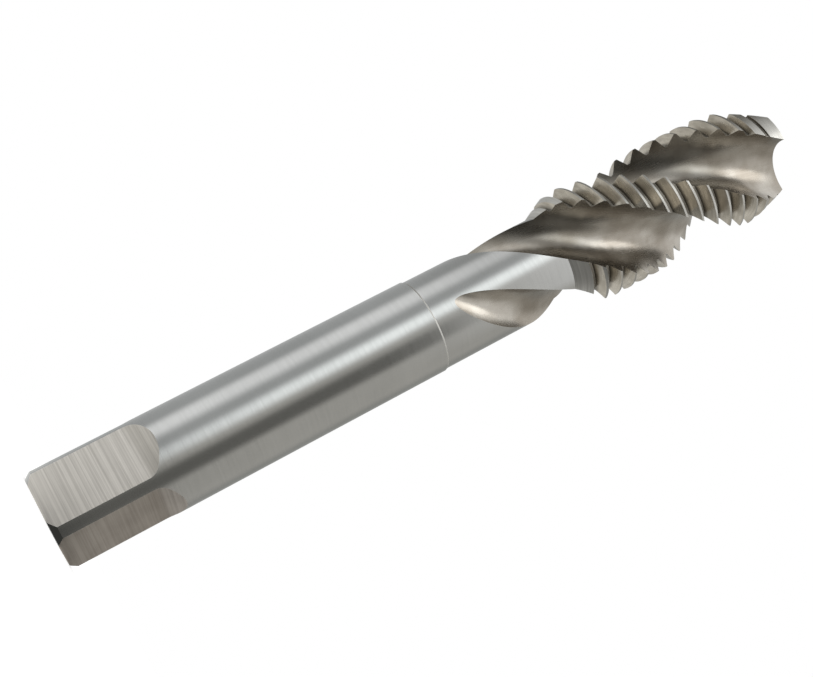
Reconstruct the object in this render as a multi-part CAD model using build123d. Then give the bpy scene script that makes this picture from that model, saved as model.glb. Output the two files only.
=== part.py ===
from build123d import *
import os
import math

# Machine tap for an M18 x 2.5 thread: right-hand thread, three right-hand spiral flutes.
# Millimetres. It stands on the drive end: Z runs up the axis to the cutting tip,
# X and Y are square to two neighbouring flats of the drive square.

# heights up the axis
overall_length = 119.2    # drive-end face to tip face
square_length = 13.7      # flat part of each drive flat
shank_length = 57.2       # drive-end face to the step down to the neck
neck_end = 79.0           # where the blank starts to flare up to the thread
flare_length = 4.3        # flare from neck to thread diameter

# shank and drive square
shank_d = 14.0
neck_d = 13.66
step_length = 0.25        # bevel of the step between shank and neck
square_af = 11.0          # across flats
square_fillet = 3.0       # hollow at the end of each flat
square_rise = 36.0        # degrees, slope on which each flat runs out into the shank
drive_chamfer = 0.75      # taken off the radius at the drive-end rim
drive_chamfer_length = 0.95

# thread
thread_d = 18.0
pitch = 2.5
thread_angle = 60.0
crest_flat = 0.3
root_flat = 0.35
thread_phase = 1.426      # a groove's middle crosses +X at this height plus whole pitches
groove_arc = 74.0         # degrees of turn in one cut of the groove, past both sides of a land
lead_threads = 2.9        # threads cut back by the chamfer lead at the tip
tip_d = 13.9              # at the tip face

# flutes
flute_count = 3
flute_lead = 76.0         # height in which a flute makes one full turn
flute_round = 5.75        # radius of the hollow at a flute's bottom
core_d = 5.6              # solid core left between the flutes at the tip face
flute_slope = 0.012       # a flute deepens this much for each mm towards the tip
flute_hook = 10.0         # degrees of hook on the cutting face
land_middle = 21.0        # degrees from a cutting edge back to the middle of its land
heel_angle = 75.0         # degrees from the cutting edge's radius to the heel face
flute_turn = -36.6        # degrees, place of one cutting edge at the height of neck_end
flute_full = 86.4         # lowest height at which a flute has its full depth
runout_radius = 81.7      # arc on which a flute rises out of the neck, along the cutting edge's radius
section_step = 8.0        # spacing of the sections that shape a flute

clearance = 1.0           # run of each cutting shape past the surface that it cuts

shank_r = shank_d / 2
neck_r = neck_d / 2
thread_r = thread_d / 2
core_r = core_d / 2


def blank():
    """The turned blank, before any grinding."""
    outline = Polyline(
        (0, 0),
        (shank_r - drive_chamfer, 0),
        (shank_r, drive_chamfer_length),
        (shank_r, shank_length),
        (neck_r, shank_length + step_length),
        (neck_r, neck_end),
        (thread_r, neck_end + flare_length),
        (thread_r, overall_length - lead_threads * pitch),
        (tip_d / 2, overall_length),
        (0, overall_length),
        close=True,
    )
    return revolve(Plane.XZ * make_face(outline), Axis.Z)


def flat_cutter():
    """What is ground off the +X side of the drive square."""
    rise = math.radians(square_rise)

    def hollow(angle):
        x = square_af / 2 + square_fillet * (1 - math.cos(angle))
        z = square_length + square_fillet * math.sin(angle)
        return (x, z)

    bend_x, bend_z = hollow(rise)
    out_x = shank_r + clearance
    top = (out_x, bend_z + (out_x - bend_x) / math.tan(rise))
    edges = [
        Line((square_af / 2, -clearance), hollow(0)),
        ThreePointArc(hollow(0), hollow(rise / 2), hollow(rise)),
        Line(hollow(rise), top),
        Line(top, (out_x, -clearance)),
        Line((out_x, -clearance), (square_af / 2, -clearance)),
    ]
    side = Plane.XZ * make_face(edges)
    return extrude(side, amount=shank_r, both=True)


def groove_cutter():
    """One thread groove, long enough to cross one land, its middle at +X and at height 0."""
    flank = math.tan(math.radians(thread_angle / 2))
    crest_width = pitch - crest_flat
    root_r = thread_r - (crest_width - root_flat) / 2 / flank
    out_r = thread_r + crest_flat / 4 / flank
    out_width = crest_width + crest_flat / 2
    section = Polyline(
        (root_r, -root_flat / 2),
        (out_r, -out_width / 2),
        (out_r, out_width / 2),
        (root_r, root_flat / 2),
        close=True,
    )
    climb = pitch * groove_arc / 360
    path = Helix(pitch, climb, root_r)
    facing = -(Plane.XZ * make_face(section)).face()
    groove = sweep(facing, path=path, is_frenet=True)
    return Pos(0, 0, -climb / 2) * Rot(0, 0, -groove_arc / 2) * groove


def grooves():
    """Every crossing of the thread groove and a land, from the flare to past the tip."""
    cutter = groove_cutter()
    placed = []
    for land in range(flute_count):
        # both the land's middle and the thread wind up the axis as the angle grows
        land_turn = flute_turn + 360 / flute_count * land - land_middle
        for n in range(-200, 200):
            rate = 1 - pitch / flute_lead
            z = (thread_phase + pitch * (n + land_turn / 360) - pitch / flute_lead * neck_end) / rate
            if neck_end - pitch / 2 < z < overall_length + pitch:
                angle = land_turn + (z - neck_end) / flute_lead * 360
                placed.append(Pos(0, 0, z) * Rot(0, 0, angle) * cutter)
    return placed


def flute_section(z):
    """Outline at height z of the hollow that a flute takes out, its cutting edge first."""
    hook = math.radians(flute_hook)
    heel = math.radians(heel_angle)
    below = max(flute_full - z, 0)
    lift = runout_radius - math.sqrt(runout_radius**2 - below**2)
    rise = Vector(lift + flute_slope * (overall_length - z), 0)
    # the round touches the cutting face and the core
    inward = Vector(-math.cos(hook), -math.sin(hook))
    off_face = Vector(-math.sin(hook), math.cos(hook)) * flute_round
    edge = Vector(thread_r, 0)
    start = edge + off_face
    along = start.dot(inward)
    reach = core_r + flute_round
    run = -along - math.sqrt(along**2 - start.length**2 + reach**2)
    centre = start + inward * run
    face_side = hook - math.pi / 2
    heel_side = heel + math.pi / 2 - 2 * math.pi

    def on_round(share):
        angle = face_side + share * (heel_side - face_side)
        return centre + Vector(math.cos(angle), math.sin(angle)) * flute_round + rise

    far = 2 * thread_r - run
    face_out = on_round(0) - inward * far
    heel_out = on_round(1) + Vector(math.cos(heel), math.sin(heel)) * far
    outline = [
        Line(face_out, on_round(0)),
        ThreePointArc(on_round(0), on_round(0.25), on_round(0.5)),
        ThreePointArc(on_round(0.5), on_round(0.75), on_round(1)),
        Line(on_round(1), heel_out),
        Line(heel_out, face_out),
    ]
    turn = flute_turn + (z - neck_end) / flute_lead * 360
    return Pos(0, 0, z) * Rot(0, 0, turn) * make_face(outline)


def flute_cutter():
    """One flute, from where it rises out of the neck to past the tip."""
    lift = shank_r - core_r + clearance
    low = flute_full - math.sqrt(runout_radius**2 - (runout_radius - lift) ** 2)
    high = overall_length + clearance
    count = math.ceil((high - low) / section_step)
    sections = [flute_section(low + (high - low) * i / count) for i in range(count + 1)]
    return loft(sections)


def tap():
    """The finished tap."""
    body = blank()
    flute = flute_cutter()
    for i in range(flute_count):
        body -= Rot(0, 0, 360 / flute_count * i) * flute
    side = flat_cutter()
    for i in range(4):
        body -= Rot(0, 0, 90 * i) * side
    body -= grooves()
    return body


os.makedirs("parts", exist_ok=True)
export_step(tap(), "parts/thread_tap.step")
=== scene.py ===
import bpy
import bmesh
import math
from mathutils import Matrix, Vector


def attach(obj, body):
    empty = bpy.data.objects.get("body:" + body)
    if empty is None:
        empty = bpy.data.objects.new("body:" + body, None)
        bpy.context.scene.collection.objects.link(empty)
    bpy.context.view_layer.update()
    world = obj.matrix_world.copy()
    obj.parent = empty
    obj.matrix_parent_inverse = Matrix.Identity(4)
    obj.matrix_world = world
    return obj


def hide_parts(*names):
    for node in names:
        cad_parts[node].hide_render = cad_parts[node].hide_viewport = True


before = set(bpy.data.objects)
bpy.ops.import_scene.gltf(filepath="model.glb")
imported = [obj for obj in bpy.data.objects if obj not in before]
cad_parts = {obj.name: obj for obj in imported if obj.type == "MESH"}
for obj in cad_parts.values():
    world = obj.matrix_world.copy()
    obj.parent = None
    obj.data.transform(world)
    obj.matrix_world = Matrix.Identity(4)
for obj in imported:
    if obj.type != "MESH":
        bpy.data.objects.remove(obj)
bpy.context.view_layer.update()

bpy.ops.object.select_all(action="DESELECT")
mm = 0.001  # lengths of the tap are written in millimetres and multiplied by this

# driving sizes of the tap, the same as the solid's
tapSizes = {
    "length": 119.2, "shankLength": 57.2, "stepLength": 0.25, "neckEnd": 79.0, "flareLength": 4.3,
    "shankRadius": 7.0, "neckRadius": 6.83, "threadRadius": 9.0, "tipRadius": 6.95, "coreRadius": 2.8,
    "chamfer": 0.75, "chamferLength": 0.95,
    "pitch": 2.5, "leadThreads": 2.9, "fluteLead": 76.0,
    "clearance": 1.0,  # run of each cutter past the surface that it cuts
}


# small helpers

def editMode(on):
    bpy.ops.object.mode_set(mode="EDIT" if on else "OBJECT")


def onlyThis(piece):
    bpy.ops.object.select_all(action="DESELECT")
    bpy.context.view_layer.objects.active = piece
    piece.select_set(True)


def faceOutwards():
    bpy.ops.mesh.select_all(action="SELECT")
    bpy.ops.mesh.normals_make_consistent(inside=False)


# node groups, each used by more than one steel

def newGroup(name, inputs, outputs):
    group = bpy.data.node_groups.new(name, "ShaderNodeTree")
    for label, kind, value in inputs:
        socket = group.interface.new_socket(name=label, in_out="INPUT", socket_type=kind)
        if value is not None:
            socket.default_value = value
    for label, kind in outputs:
        group.interface.new_socket(name=label, in_out="OUTPUT", socket_type=kind)
    start = group.nodes.new("NodeGroupInput")
    end = group.nodes.new("NodeGroupOutput")
    return group, start, end


def mathNode(tree, operation, first, second=None):
    node = tree.nodes.new("ShaderNodeMath")
    node.operation = operation
    for socket, value in zip(node.inputs, (first, second)):
        if value is None:
            continue
        if isinstance(value, (int, float)):
            socket.default_value = value
        else:
            tree.links.new(value, socket)
    return node.outputs[0]


def noiseNode(tree, vector, detail, roughness=0.5):
    node = tree.nodes.new("ShaderNodeTexNoise")
    node.inputs["Scale"].default_value = 1.0
    node.inputs["Detail"].default_value = detail
    node.inputs["Roughness"].default_value = roughness
    tree.links.new(vector, node.inputs["Vector"])
    return node.outputs["Fac"]


def rangeNode(tree, value, low, high, newLow=0.0, newHigh=1.0):
    node = tree.nodes.new("ShaderNodeMapRange")
    node.interpolation_type = "SMOOTHSTEP"
    tree.links.new(value, node.inputs["Value"])
    node.inputs["From Min"].default_value = low
    node.inputs["From Max"].default_value = high
    node.inputs["To Min"].default_value = newLow
    node.inputs["To Max"].default_value = newHigh
    return node.outputs["Result"]


def mixColour(tree, factor, first, second):
    node = tree.nodes.new("ShaderNodeMix")
    node.data_type = "RGBA"
    node.clamp_factor = True
    for socket, value in ((node.inputs[0], factor), (node.inputs[6], first), (node.inputs[7], second)):
        if isinstance(value, (int, float)):
            socket.default_value = value
        elif isinstance(value, tuple):
            socket.default_value = (*value, 1)
        else:
            tree.links.new(value, socket)
    return node.outputs[2]


noiseBand = (0.3, 0.7)  # the part of a noise's range that is spread over 0 to 1


def groupWheelMarks():  # scratches, long in X and Y of the vector and close together in Z
    group, start, end = newGroup(
        "wheelMarks",
        [("Vector", "NodeSocketVector", None),
         ("Fine", "NodeSocketFloat", 6.0),
         ("Coarse", "NodeSocketFloat", 1.2)],
        [("Lines", "NodeSocketFloat")])
    parts = group.nodes.new("ShaderNodeSeparateXYZ")
    group.links.new(start.outputs["Vector"], parts.inputs[0])
    made = []
    for label, detail in (("Coarse", 2.0), ("Fine", 3.0)):
        across = mathNode(group, "MULTIPLY", parts.outputs["Z"], start.outputs[label])
        join = group.nodes.new("ShaderNodeCombineXYZ")
        group.links.new(parts.outputs["X"], join.inputs["X"])
        group.links.new(parts.outputs["Y"], join.inputs["Y"])
        group.links.new(across, join.inputs["Z"])
        made.append(rangeNode(group, noiseNode(group, join.outputs[0], detail, roughness=0.6), *noiseBand))
    both = mathNode(group, "MULTIPLY", mathNode(group, "ADD", *made), 0.5)
    group.links.new(both, end.inputs["Lines"])
    return group


def groupClouds():  # slow, uneven tone over the steel
    group, start, end = newGroup(
        "steelClouds",
        [("Size", "NodeSocketFloat", 3.0)],
        [("Tone", "NodeSocketFloat")])
    place = group.nodes.new("ShaderNodeTexCoord")
    toMm = group.nodes.new("ShaderNodeVectorMath")
    toMm.operation = "SCALE"
    toMm.inputs["Scale"].default_value = 1 / mm
    group.links.new(place.outputs["Object"], toMm.inputs[0])
    slow = group.nodes.new("ShaderNodeVectorMath")
    slow.operation = "SCALE"
    group.links.new(toMm.outputs[0], slow.inputs[0])
    group.links.new(mathNode(group, "DIVIDE", 1.0, start.outputs["Size"]), slow.inputs["Scale"])
    cloud = rangeNode(group, noiseNode(group, slow.outputs[0], detail=3.0), *noiseBand)
    group.links.new(cloud, end.inputs["Tone"])
    return group


edge = {"samples": 6, "open": 0.99, "sharp": 0.85}  # cosines of the turn between true and rounded normal


def groupEdgeHighlight():  # mask for the painted highlight: 1 on the sharp edges, 0 on open faces
    group, start, end = newGroup(
        "edgeHighlight",
        [("Width", "NodeSocketFloat", 0.1)],
        [("Mask", "NodeSocketFloat")])
    bevel = group.nodes.new("ShaderNodeBevel")
    bevel.samples = edge["samples"]
    group.links.new(mathNode(group, "MULTIPLY", start.outputs["Width"], mm), bevel.inputs["Radius"])
    facing = group.nodes.new("ShaderNodeNewGeometry")
    dot = group.nodes.new("ShaderNodeVectorMath")
    dot.operation = "DOT_PRODUCT"
    group.links.new(bevel.outputs[0], dot.inputs[0])
    group.links.new(facing.outputs["Normal"], dot.inputs[1])
    group.links.new(rangeNode(group, dot.outputs["Value"], edge["open"], edge["sharp"]), end.inputs["Mask"])
    return group


def placeGroup(tree, group, **values):
    node = tree.nodes.new("ShaderNodeGroup")
    node.node_tree = group
    for label, value in values.items():
        if isinstance(value, (int, float)):
            node.inputs[label].default_value = value
        else:
            tree.links.new(value, node.inputs[label])
    return node


wheelMarks = groupWheelMarks()
steelClouds = groupClouds()
edgeHighlight = groupEdgeHighlight()


# steels: colours are linear, lengths in millimetres

# in each steel, edge is a painted highlight colour laid along the sharp edges
steels = {
    "groundSteel": {  # shank and neck, ground round
        "dark": (0.401, 0.406, 0.399), "light": (0.452, 0.457, 0.450), "edge": (0.61, 0.62, 0.62),
        "stretch": (0.12, 0.12, 1.0), "tilt": (0, 0, 0), "fine": 7.0, "coarse": 2.0, "clouds": 9.0,
        "rough": (0.16, 0.20), "bump": 0.0006, "edgeWidth": 0.10, "lineShare": 0.4,
    },
    "flareSteel": {  # where the neck widens to the thread, turned
        "dark": (0.34, 0.335, 0.315), "light": (0.61, 0.602, 0.572), "edge": (0.66, 0.65, 0.62),
        "stretch": (0.08, 0.08, 1.0), "tilt": (0, 0, 0), "fine": 5.0, "coarse": 1.6, "clouds": 5.0,
        "rough": (0.40, 0.50), "bump": 0.002, "edgeWidth": 0.06, "lineShare": 0.8, "metal": 0.88,
    },
    "flatSteel": {  # two opposite drive flats, ground across
        "dark": (0.430, 0.411, 0.380), "light": (0.662, 0.634, 0.590), "edge": (0.60, 0.59, 0.56),
        "stretch": (0.03, 0.03, 1.0), "tilt": (9, 0, 0), "fine": 5.0, "coarse": 2.6, "clouds": 5.0,
        "rough": (0.30, 0.40), "bump": 0.003, "edgeWidth": 0.10, "lineShare": 0.85,
    },
    "flatSteelDull": {  # the other two drive flats, darker
        "dark": (0.262, 0.233, 0.204), "light": (0.390, 0.355, 0.318), "edge": (0.45, 0.42, 0.38),
        "stretch": (0.05, 0.05, 1.0), "tilt": (0, 7, 0), "fine": 5.0, "coarse": 1.8, "clouds": 5.0,
        "rough": (0.34, 0.44), "bump": 0.002, "edgeWidth": 0.10, "lineShare": 0.6,
    },
    "fluteSteel": {  # hollows of the flutes
        "dark": (0.234, 0.209, 0.175), "light": (0.390, 0.368, 0.330), "edge": (0.50, 0.47, 0.42),
        "stretch": (0.12, 1.6, 1.6), "tilt": (0, 0, 0), "fine": 2.0, "coarse": 0.7, "clouds": 5.0,
        "rough": (0.24, 0.28), "bump": 0.0001, "edgeWidth": 0.06, "lineShare": 0.15,
        "lead": tapSizes["fluteLead"],
    },
    "flankSteel": {  # flanks and roots of the teeth
        "dark": (0.302, 0.276, 0.231), "light": (0.545, 0.508, 0.443), "edge": (0.54, 0.52, 0.47),
        "stretch": (0.3, 0.3, 1.0), "tilt": (0, 0, 0), "fine": 6.0, "coarse": 2.0, "clouds": 2.5,
        "rough": (0.25, 0.33), "bump": 0.001, "edgeWidth": 0.06, "lineShare": 0.6,
        # rootRadius and rootShade paint shade into the flank colour, darker towards the groove's root
        "rootRadius": (7.42, 8.0), "rootShade": 0.38,
    },
    "crestSteel": {  # ground tops of the teeth and the lead
        "dark": (0.33, 0.323, 0.300), "light": (0.44, 0.433, 0.408), "edge": (0.68, 0.67, 0.64),
        "stretch": (0.2, 0.2, 1.0), "tilt": (0, 0, 0), "fine": 6.0, "coarse": 2.0, "clouds": 3.0,
        "rough": (0.24, 0.32), "bump": 0.001, "edgeWidth": 0.06, "lineShare": 0.6,
    },
}


def alongFlute(tree, vector, lead):  # unwinds the flutes, and puts the tap's axis on X, where marks are long
    parts = tree.nodes.new("ShaderNodeSeparateXYZ")
    tree.links.new(vector, parts.inputs[0])
    turn = tree.nodes.new("ShaderNodeVectorRotate")
    turn.rotation_type = "Z_AXIS"
    tree.links.new(vector, turn.inputs["Vector"])
    unwind = mathNode(tree, "MULTIPLY", parts.outputs["Z"], -2 * math.pi / (lead * mm))
    tree.links.new(unwind, turn.inputs["Angle"])
    flat = tree.nodes.new("ShaderNodeSeparateXYZ")
    tree.links.new(turn.outputs[0], flat.inputs[0])
    join = tree.nodes.new("ShaderNodeCombineXYZ")
    tree.links.new(parts.outputs["Z"], join.inputs["X"])
    tree.links.new(flat.outputs["X"], join.inputs["Y"])
    tree.links.new(flat.outputs["Y"], join.inputs["Z"])
    return join.outputs[0]


def buildSteel(name):
    s = steels[name]
    mat = bpy.data.materials.new(name)
    mat.use_nodes = True
    tree = mat.node_tree
    shader = tree.nodes["Principled BSDF"]
    shader.inputs["Metallic"].default_value = s.get("metal", 1.0)
    place = tree.nodes.new("ShaderNodeTexCoord")
    lay = tree.nodes.new("ShaderNodeMapping")
    along = place.outputs["Object"]
    if "lead" in s:
        along = alongFlute(tree, along, s["lead"])
    tree.links.new(along, lay.inputs["Vector"])
    lay.inputs["Rotation"].default_value = [math.radians(a) for a in s["tilt"]]
    lay.inputs["Scale"].default_value = [a / mm for a in s["stretch"]]
    marks = placeGroup(tree, wheelMarks, Vector=lay.outputs[0], Fine=s["fine"], Coarse=s["coarse"])
    clouds = placeGroup(tree, steelClouds, Size=s["clouds"])
    highlight = placeGroup(tree, edgeHighlight, Width=s["edgeWidth"])
    lines = mathNode(tree, "MULTIPLY", marks.outputs["Lines"], s["lineShare"])
    soft = mathNode(tree, "MULTIPLY", clouds.outputs["Tone"], 1 - s["lineShare"])
    tone = mathNode(tree, "ADD", lines, soft)
    body = mixColour(tree, tone, s["dark"], s["light"])
    if "rootRadius" in s:  # painted shade: the flank colour darkens towards the bottom of the thread groove
        flat = tree.nodes.new("ShaderNodeVectorMath")
        flat.operation = "MULTIPLY"
        flat.inputs[1].default_value = (1 / mm, 1 / mm, 0)
        tree.links.new(place.outputs["Object"], flat.inputs[0])
        radius = tree.nodes.new("ShaderNodeVectorMath")
        radius.operation = "LENGTH"
        tree.links.new(flat.outputs[0], radius.inputs[0])
        # painted shade in the groove, from the distance to the tap's axis
        rootShadeMask = rangeNode(tree, radius.outputs["Value"], *s["rootRadius"], s["rootShade"], 1.0)
        shade = tree.nodes.new("ShaderNodeVectorMath")
        shade.operation = "SCALE"
        tree.links.new(body, shade.inputs[0])
        tree.links.new(rootShadeMask, shade.inputs["Scale"])
        body = shade.outputs[0]
    # painted highlight: the edge colour is mixed in along the sharp edges
    colour = mixColour(tree, highlight.outputs["Mask"], body, s["edge"])
    tree.links.new(colour, shader.inputs["Base Color"])
    rough = rangeNode(tree, marks.outputs["Lines"], 0.0, 1.0, s["rough"][1], s["rough"][0])
    tree.links.new(rough, shader.inputs["Roughness"])
    bump = tree.nodes.new("ShaderNodeBump")
    bump.inputs["Strength"].default_value = 1.0
    bump.inputs["Distance"].default_value = s["bump"] * mm
    tree.links.new(marks.outputs["Lines"], bump.inputs["Height"])
    tree.links.new(bump.outputs[0], shader.inputs["Normal"])
    return mat


steel = {name: buildSteel(name) for name in steels}
print("steels made:", len(steel))


# camera, world, floor, tent, flag, table card and lamp: lengths of the stage are in metres

eye = {
    "place": (0.15311164, 0.08618634, 0.00338915), "turn": (122.10598676, -58.31473818, 91.13712151),
    "lens": 57.3612, "sensor": 36.0, "clipStart": 0.001,
}


def addCamera():
    bpy.ops.object.camera_add(location=eye["place"])
    camera = bpy.context.object
    camera.rotation_euler = [math.radians(a) for a in eye["turn"]]
    camera.data.lens = eye["lens"]
    camera.data.sensor_width = eye["sensor"]
    camera.data.clip_start = eye["clipStart"]
    bpy.context.scene.camera = camera
    bpy.context.scene.view_settings.view_transform = "Standard"


studio = {
    "fill": 0.8, "seen": 1.0,  # strength of the world as a light, and as a backdrop or reflection
    "floorRadius": 3.0, "floorColour": 0.86, "floorGlow": 0.35, "floorRough": 0.9, "floorShine": 0.1,
    "lampAim": 0.06, "lampTurn": 28.0, "lampLift": 54.0, "lampDistance": 1.0,
    "lampSize": 0.62, "lampWatts": 1.9,
    "tentRadius": 2.5, "tentGrey": (0.61, 0.62, 0.62), "ringSides": 96,
}
# what the steel reflects: the middle, half size and soft rim of each, in degrees round the tap and up
softBoxes = {
    "warmSide": {
        "turn": 100, "lift": 0, "wide": 70, "tall": 60, "rimWide": 20, "rimTall": 20,
        "glow": (0.64, 0.62, 0.58)},
    "dimBack": {
        "turn": 180, "lift": 0, "wide": 5, "tall": 30, "rimWide": 35, "rimTall": 20,
        "glow": (0.40, 0.40, 0.38)},
    "shade": {
        "turn": -85, "lift": 43, "wide": 35, "tall": 10, "rimWide": 45, "rimTall": 16,
        "glow": (0.26, 0.25, 0.23)},
    "sideBox": {
        "turn": 60, "lift": 43, "wide": 30, "tall": 10, "rimWide": 45, "rimTall": 16,
        "glow": (1.3, 1.3, 1.3)},
    "overheadBox": {
        "turn": 0, "lift": 90, "wide": 180, "tall": 20, "rimWide": 1, "rimTall": 18,
        "glow": (1.4, 1.4, 1.4)},
    "leftStrip": {
        "turn": -45, "lift": 5, "wide": 5, "tall": 10, "rimWide": 25, "rimTall": 20,
        "glow": (1.4, 1.4, 1.4)},
    "middleStrip": {
        "turn": 15, "lift": 22, "wide": 2, "tall": 6, "rimWide": 20, "rimTall": 20,
        "glow": (1.9, 1.95, 1.95)},
}
table = {
    "inner": 0.0063, "outer": 2.4, "height": 0.00005, "pale": (0.85, 0.85, 0.83),
    "cloth": {
        "turn": 60, "lift": 0, "wide": 45, "tall": 90, "rimWide": 60, "rimTall": 1,
        "glow": (0.07, 0.07, 0.065)},
}
flag = {
    "radius": 0.15, "top": 0.118, "rimTop": 0.022,
    "cloth": {
        "turn": 61, "lift": 0, "wide": 8, "tall": 90, "rimWide": 18, "rimTall": 1,
        "glow": (0.2, 0.195, 0.18)},
}


def seenDirectly(tree):
    path = tree.nodes.new("ShaderNodeLightPath")
    two = mathNode(tree, "MAXIMUM", path.outputs["Is Camera Ray"], path.outputs["Is Glossy Ray"])
    return mathNode(tree, "MAXIMUM", two, path.outputs["Is Transmission Ray"])


def buildWorld():
    world = bpy.data.worlds.new("studioWorld")
    bpy.context.scene.world = world
    world.use_nodes = True
    tree = world.node_tree
    tree.nodes.clear()
    out = tree.nodes.new("ShaderNodeOutputWorld")
    fill = tree.nodes.new("ShaderNodeBackground")
    fill.inputs["Color"].default_value = (1, 1, 1, 1)
    fill.inputs["Strength"].default_value = studio["fill"]
    seen = tree.nodes.new("ShaderNodeBackground")
    seen.inputs["Color"].default_value = (1, 1, 1, 1)
    seen.inputs["Strength"].default_value = studio["seen"]
    mix = tree.nodes.new("ShaderNodeMixShader")
    tree.links.new(seenDirectly(tree), mix.inputs[0])
    tree.links.new(fill.outputs[0], mix.inputs[1])
    tree.links.new(seen.outputs[0], mix.inputs[2])
    tree.links.new(mix.outputs[0], out.inputs["Surface"])


def buildFloor():
    bpy.ops.mesh.primitive_circle_add(
        vertices=studio["ringSides"], radius=studio["floorRadius"], fill_type="NGON", location=(0, 0, 0))
    floor = bpy.context.object
    floor.name = "floor"
    mat = bpy.data.materials.new("paleFloor")
    mat.use_nodes = True
    tree = mat.node_tree
    shader = tree.nodes["Principled BSDF"]
    tone = studio["floorColour"]
    shader.inputs["Base Color"].default_value = (tone, tone, tone, 1)
    shader.inputs["Roughness"].default_value = studio["floorRough"]
    shader.inputs["Specular IOR Level"].default_value = studio["floorShine"]
    glow = tree.nodes.new("ShaderNodeEmission")
    lift = mathNode(tree, "MULTIPLY", seenDirectly(tree), studio["floorGlow"])
    tree.links.new(lift, glow.inputs["Strength"])
    add = tree.nodes.new("ShaderNodeAddShader")
    tree.links.new(shader.outputs[0], add.inputs[0])
    tree.links.new(glow.outputs[0], add.inputs[1])
    tree.links.new(add.outputs[0], tree.nodes["Material Output"].inputs["Surface"])
    floor.data.materials.append(mat)


def degreesOff(tree, angle, middle):
    turned = mathNode(tree, "MULTIPLY", angle, 180 / math.pi)
    return mathNode(tree, "ABSOLUTE", mathNode(tree, "SUBTRACT", turned, middle))


def patchMask(tree, direction, patch):  # 1 inside a box or cloth, fading to 0 over its rim
    turn = tree.nodes.new("ShaderNodeVectorRotate")
    turn.rotation_type = "Z_AXIS"
    turn.inputs["Angle"].default_value = -math.radians(patch["turn"])
    tree.links.new(direction, turn.inputs["Vector"])
    parts = tree.nodes.new("ShaderNodeSeparateXYZ")
    tree.links.new(turn.outputs[0], parts.inputs[0])
    aside = degreesOff(tree, mathNode(tree, "ARCTAN2", parts.outputs["Y"], parts.outputs["X"]), 0.0)
    above = degreesOff(tree, mathNode(tree, "ARCSINE", parts.outputs["Z"]), patch["lift"])
    across = rangeNode(tree, aside, patch["wide"], patch["wide"] + patch["rimWide"], 1.0, 0.0)
    up = rangeNode(tree, above, patch["tall"], patch["tall"] + patch["rimTall"], 1.0, 0.0)
    return mathNode(tree, "MULTIPLY", across, up)


def panelMaterial(name):
    mat = bpy.data.materials.new(name)
    mat.use_nodes = True
    tree = mat.node_tree
    tree.nodes.clear()
    out = tree.nodes.new("ShaderNodeOutputMaterial")
    place = tree.nodes.new("ShaderNodeTexCoord")
    glow = tree.nodes.new("ShaderNodeEmission")
    tree.links.new(glow.outputs[0], out.inputs["Surface"])
    return mat, tree, place.outputs["Object"], glow


def onlyReflected(piece, mat):
    piece.data.materials.append(mat)
    for ray in ("visible_camera", "visible_diffuse", "visible_shadow", "visible_transmission"):
        setattr(piece, ray, False)


def normalised(tree, place):
    direction = tree.nodes.new("ShaderNodeVectorMath")
    direction.operation = "NORMALIZE"
    tree.links.new(place, direction.inputs[0])
    return direction.outputs[0]


def buildTent():  # grey tent with soft boxes, which only the steel reflects
    bpy.ops.mesh.primitive_uv_sphere_add(
        segments=64, ring_count=32, radius=studio["tentRadius"], location=(0, 0, 0))
    tent = bpy.context.object
    tent.name = "tent"
    mat, tree, place, glow = panelMaterial("tentPanels")
    direction = normalised(tree, place)
    seen = studio["tentGrey"]
    for box in softBoxes.values():
        seen = mixColour(tree, patchMask(tree, direction, box), seen, box["glow"])
    tree.links.new(seen, glow.inputs["Color"])
    onlyReflected(tent, mat)


def buildFlag():  # dark cloth beside the shank, lower than the tip, seen only in the steel as a painted dark reflection
    half = flag["top"] / 2
    bpy.ops.mesh.primitive_cylinder_add(
        vertices=studio["ringSides"], radius=flag["radius"], depth=flag["top"], end_fill_type="NOTHING",
        location=(0, 0, half))
    ring = bpy.context.object
    ring.name = "darkFlag"
    mat, tree, place, glow = panelMaterial("flagCloth")
    glow.inputs["Color"].default_value = (*flag["cloth"]["glow"], 1)
    parts = tree.nodes.new("ShaderNodeSeparateXYZ")
    tree.links.new(place, parts.inputs[0])
    fade = rangeNode(tree, parts.outputs["Z"], half - flag["rimTop"], half, 1.0, 0.0)
    cover = mathNode(tree, "MULTIPLY", patchMask(tree, normalised(tree, place), flag["cloth"]), fade)
    clear = tree.nodes.new("ShaderNodeBsdfTransparent")
    mix = tree.nodes.new("ShaderNodeMixShader")
    tree.links.new(cover, mix.inputs[0])
    tree.links.new(clear.outputs[0], mix.inputs[1])
    tree.links.new(glow.outputs[0], mix.inputs[2])
    tree.links.new(mix.outputs[0], tree.nodes["Material Output"].inputs["Surface"])
    onlyReflected(ring, mat)


def buildTableCard():  # pale card under the tap, with a dark cloth over one side, seen only in the steel
    bpy.ops.mesh.primitive_circle_add(
        vertices=studio["ringSides"], radius=table["outer"], fill_type="NOTHING",
        location=(0, 0, table["height"]))
    card = bpy.context.object
    card.name = "tableCard"
    editMode(True)
    bpy.ops.mesh.select_all(action="SELECT")
    share = table["inner"] / table["outer"]
    bpy.ops.mesh.extrude_edges_move()
    bpy.ops.transform.resize(value=(share, share, 1))
    editMode(False)
    mat, tree, place, glow = panelMaterial("tableCardPaint")
    cloth = patchMask(tree, normalised(tree, place), table["cloth"])
    tree.links.new(mixColour(tree, cloth, table["pale"], table["cloth"]["glow"]), glow.inputs["Color"])
    onlyReflected(card, mat)


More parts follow.
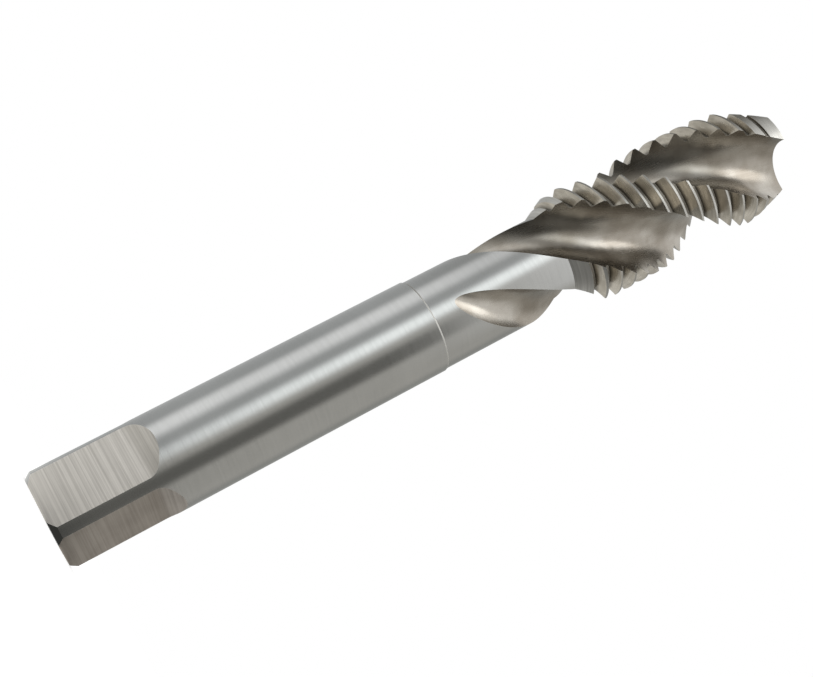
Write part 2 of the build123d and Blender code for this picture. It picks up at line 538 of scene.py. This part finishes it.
def buildLamp():
    middle = Vector((0, 0, studio["lampAim"]))
    turn, lift = math.radians(studio["lampTurn"]), math.radians(studio["lampLift"])
    toLamp = Vector((math.cos(turn) * math.cos(lift), math.sin(turn) * math.cos(lift), math.sin(lift)))
    bpy.ops.object.light_add(type="AREA", location=middle + toLamp * studio["lampDistance"])
    lamp = bpy.context.object
    lamp.name = "softLamp"
    lamp.data.shape = "DISK"
    lamp.data.size = studio["lampSize"]
    lamp.data.energy = studio["lampWatts"]
    lamp.rotation_euler = toLamp.to_track_quat("Z", "Y").to_euler()


addCamera()
buildWorld()
buildFloor()
buildTent()
buildFlag()
buildTableCard()
buildLamp()
print("stage made")


# the turned blank

flareTop = tapSizes["neckEnd"] + tapSizes["flareLength"]
leadStart = tapSizes["length"] - tapSizes["leadThreads"] * tapSizes["pitch"]
blank = {
    "sides": 240,
    "rings": [  # radius and height, from the drive end up, then the steel below the ring and its bands
        (tapSizes["shankRadius"] - tapSizes["chamfer"], 0.0, None, 0),
        (tapSizes["shankRadius"], tapSizes["chamferLength"], "groundSteel", 1),
        (tapSizes["shankRadius"], tapSizes["shankLength"], "groundSteel", 24),
        (tapSizes["neckRadius"], tapSizes["shankLength"] + tapSizes["stepLength"], "flareSteel", 1),
        (tapSizes["neckRadius"], tapSizes["neckEnd"], "groundSteel", 36),
        (tapSizes["threadRadius"], flareTop, "flareSteel", 8),
        (tapSizes["threadRadius"], leadStart, "crestSteel", 36),
        (tapSizes["tipRadius"], tapSizes["length"], "crestSteel", 10),
    ],
    "levelFace": 0.99,  # a face whose normal is this upright is an end face
}
steelOrder = list(steels)


def buildBlank():
    rings = blank["rings"]
    bpy.ops.mesh.primitive_circle_add(
        vertices=blank["sides"], radius=rings[0][0] * mm, fill_type="NGON", location=(0, 0, 0))
    body = bpy.context.object
    body.name = "tapSteel"
    for name in steelOrder:
        body.data.materials.append(steel[name])
    editMode(True)
    for (r0, z0, _, _), (r1, z1, _, bands) in zip(rings, rings[1:]):
        for i in range(bands):
            grow = (r0 + (r1 - r0) * (i + 1) / bands) / (r0 + (r1 - r0) * i / bands)
            rise = (z1 - z0) / bands * mm
            bpy.ops.mesh.extrude_region_move(TRANSFORM_OT_translate={"value": (0, 0, rise)})
            bpy.ops.transform.resize(value=(grow, grow, 1))
    faceOutwards()
    editMode(False)
    for face in body.data.polygons:
        z = face.center.z / mm
        if abs(face.normal.z) > blank["levelFace"]:
            continue
        for _, top, name, _ in rings[1:]:
            if z < top:
                face.material_index = steelOrder.index(name)
                break
    return body


# cutters: each leaves its own steel on the faces that it cuts

def giveSteel(cutter, name):
    cutter.data.materials.clear()
    cutter.data.materials.append(steel[name])


flats = {"sides": 4, "acrossFlats": 11.0, "length": 13.7, "hollow": 3.0, "rise": 36.0, "parts": 14}


def buildFlats():
    f = flats
    rise, inner = math.radians(f["rise"]), f["acrossFlats"] / 2
    out = tapSizes["shankRadius"] + tapSizes["clearance"]
    wide = tapSizes["shankRadius"]
    side = [(out, -tapSizes["clearance"]), (inner, -tapSizes["clearance"])]
    for i in range(f["parts"] + 1):
        a = rise * i / f["parts"]
        side.append((inner + f["hollow"] * (1 - math.cos(a)), f["length"] + f["hollow"] * math.sin(a)))
    x, z = side[-1]
    side.append((out, z + (out - x) / math.tan(rise)))
    made = []
    for k in range(f["sides"]):
        bpy.ops.mesh.primitive_circle_add(vertices=len(side), radius=mm, fill_type="NGON", location=(0, 0, 0))
        cutter = bpy.context.object
        cutter.name = "flatCutter%d" % k
        corners = cutter.data.polygons[0].vertices
        for index, (x, z) in zip(corners, side):
            cutter.data.vertices[index].co = (x * mm, -wide * mm, z * mm)
        editMode(True)
        bpy.ops.mesh.extrude_region_move(TRANSFORM_OT_translate={"value": (0, 2 * wide * mm, 0)})
        faceOutwards()
        editMode(False)
        cutter.data.transform(Matrix.Rotation(math.radians(360 / f["sides"] * k), 4, "Z"))
        giveSteel(cutter, "flatSteel" if k % 2 == 0 else "flatSteelDull")
        made.append(cutter)
    return made


flutes = {
    "count": 3, "round": 5.75, "slope": 0.012, "hook": 10.0, "heel": 75.0, "turn": -36.6,
    "full": 86.4, "runout": 81.7, "station": 0.3, "roundParts": 40,
    "straightParts": (0.1, 0.2, 0.3, 0.5, 1),  # points on the straight sides, as shares of their length
}


def flutePoints(z):
    f = flutes
    hook, heel = math.radians(f["hook"]), math.radians(f["heel"])
    below = max(f["full"] - z, 0)
    lift = f["runout"] - math.sqrt(f["runout"] ** 2 - below ** 2)
    rise = Vector((lift + f["slope"] * (tapSizes["length"] - z), 0))
    inward = Vector((-math.cos(hook), -math.sin(hook)))
    start = Vector((tapSizes["threadRadius"], 0)) + Vector((-math.sin(hook), math.cos(hook))) * f["round"]
    along = start.dot(inward)
    reach = tapSizes["coreRadius"] + f["round"]
    run = -along - math.sqrt(along ** 2 - start.length ** 2 + reach ** 2)
    centre = start + inward * run
    first, last = hook - math.pi / 2, heel - 1.5 * math.pi
    curve = []
    for i in range(f["roundParts"] + 1):
        a = first + (last - first) * i / f["roundParts"]
        curve.append(centre + Vector((math.cos(a), math.sin(a))) * f["round"] + rise)
    far = 2 * tapSizes["threadRadius"] - run
    outward = Vector((math.cos(heel), math.sin(heel)))
    face = [curve[0] - inward * far * share for share in reversed(f["straightParts"])]
    back = [curve[-1] + outward * far * share for share in f["straightParts"]]
    turn = f["turn"] + (z - tapSizes["neckEnd"]) / tapSizes["fluteLead"] * 360
    turned = Matrix.Rotation(math.radians(turn), 2)
    return [Vector((*(turned @ p), z)) * mm for p in face + curve + back]


def buildFlutes():
    f = flutes
    lift = tapSizes["shankRadius"] - tapSizes["coreRadius"] + tapSizes["clearance"]
    low = f["full"] - math.sqrt(f["runout"] ** 2 - (f["runout"] - lift) ** 2)
    high = tapSizes["length"] + tapSizes["clearance"]
    count = math.ceil((high - low) / f["station"])
    loops = [flutePoints(low + (high - low) * i / count) for i in range(count + 1)]
    made = []
    for k in range(f["count"]):
        place = Matrix.Rotation(math.radians(360 / f["count"] * k), 3, "Z")
        bpy.ops.mesh.primitive_circle_add(
            vertices=len(loops[0]), radius=mm, fill_type="NGON", location=(0, 0, 0))
        cutter = bpy.context.object
        cutter.name = "fluteCutter%d" % k
        editMode(True)
        for i, loop in enumerate(loops):
            if i:
                bpy.ops.mesh.extrude_region_move(TRANSFORM_OT_translate={"value": (0, 0, mm)})
            mesh = bmesh.from_edit_mesh(cutter.data)
            end = [face for face in mesh.faces if face.select][0]
            for vert, point in zip(end.verts, loop):
                vert.co = place @ point
            bmesh.update_edit_mesh(cutter.data)
        faceOutwards()
        editMode(False)
        giveSteel(cutter, "fluteSteel")
        made.append(cutter)
    return made


thread = {
    "crestFlat": 0.3, "rootFlat": 0.35, "angle": 60.0, "phase": 1.426, "low": 76.4, "turns": 18, "steps": 120,
}


def buildGroove():
    t = thread
    flank = math.tan(math.radians(t["angle"] / 2))
    pitch, crest = tapSizes["pitch"], tapSizes["threadRadius"]
    width = pitch - t["crestFlat"]
    root = crest - (width - t["rootFlat"]) / 2 / flank
    out = crest + t["crestFlat"] / 4 / flank
    outWidth = width + t["crestFlat"] / 2
    rootWidth = t["rootFlat"]
    section = [(root, -rootWidth / 2), (out, -outWidth / 2), (out, outWidth / 2), (root, rootWidth / 2)]
    start = t["low"] + (t["phase"] - t["low"]) % pitch
    bpy.ops.mesh.primitive_plane_add(size=mm, location=(0, 0, 0))
    groove = bpy.context.object
    groove.name = "grooveCutter"
    for index, (r, h) in zip(groove.data.polygons[0].vertices, section):
        groove.data.vertices[index].co = (r * mm, 0, (start + h) * mm)
    screw = groove.modifiers.new("screw", "SCREW")
    screw.axis = "Z"
    screw.angle = math.radians(360)
    screw.screw_offset = pitch * mm
    screw.iterations = t["turns"]
    screw.steps = screw.render_steps = t["steps"]
    onlyThis(groove)
    bpy.ops.object.modifier_apply(modifier="screw")
    editMode(True)
    bpy.ops.mesh.select_mode(type="EDGE")
    bpy.ops.mesh.select_all(action="DESELECT")
    bpy.ops.mesh.select_non_manifold()
    bpy.ops.mesh.edge_face_add()
    faceOutwards()
    bpy.ops.mesh.select_mode(type="FACE")
    editMode(False)
    giveSteel(groove, "flankSteel")
    return groove


def cut(body, cutter):
    onlyThis(body)
    change = body.modifiers.new("cut", "BOOLEAN")
    change.operation = "DIFFERENCE"
    change.solver = "EXACT"
    change.material_mode = "TRANSFER"
    change.object = cutter
    bpy.ops.object.modifier_apply(modifier="cut")
    bpy.data.objects.remove(cutter)


finish = {"merge": 0.0005, "smoothAngle": 24.0}


def buildTap():
    body = buildBlank()
    for cutter in buildFlutes() + buildFlats() + [buildGroove()]:
        cut(body, cutter)
    onlyThis(body)
    editMode(True)
    bpy.ops.mesh.select_all(action="SELECT")
    bpy.ops.mesh.remove_doubles(threshold=finish["merge"] * mm)
    bpy.ops.mesh.quads_convert_to_tris(quad_method="BEAUTY", ngon_method="BEAUTY")
    editMode(False)
    bpy.ops.object.shade_smooth_by_angle(angle=math.radians(finish["smoothAngle"]))
    editMode(True)
    mesh = bmesh.from_edit_mesh(body.data)
    for line in mesh.edges:  # two grinds meet in a crisp line
        if len({face.material_index for face in line.link_faces}) > 1:
            line.smooth = False
    bmesh.update_edit_mesh(body.data)
    editMode(False)
    return body


tap = buildTap()
print("tap cut:", len(tap.data.vertices), "points,", len(tap.data.polygons), "faces")

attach(tap, "root")
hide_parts("thread_tap")
bpy.ops.object.select_all(action="DESELECT")
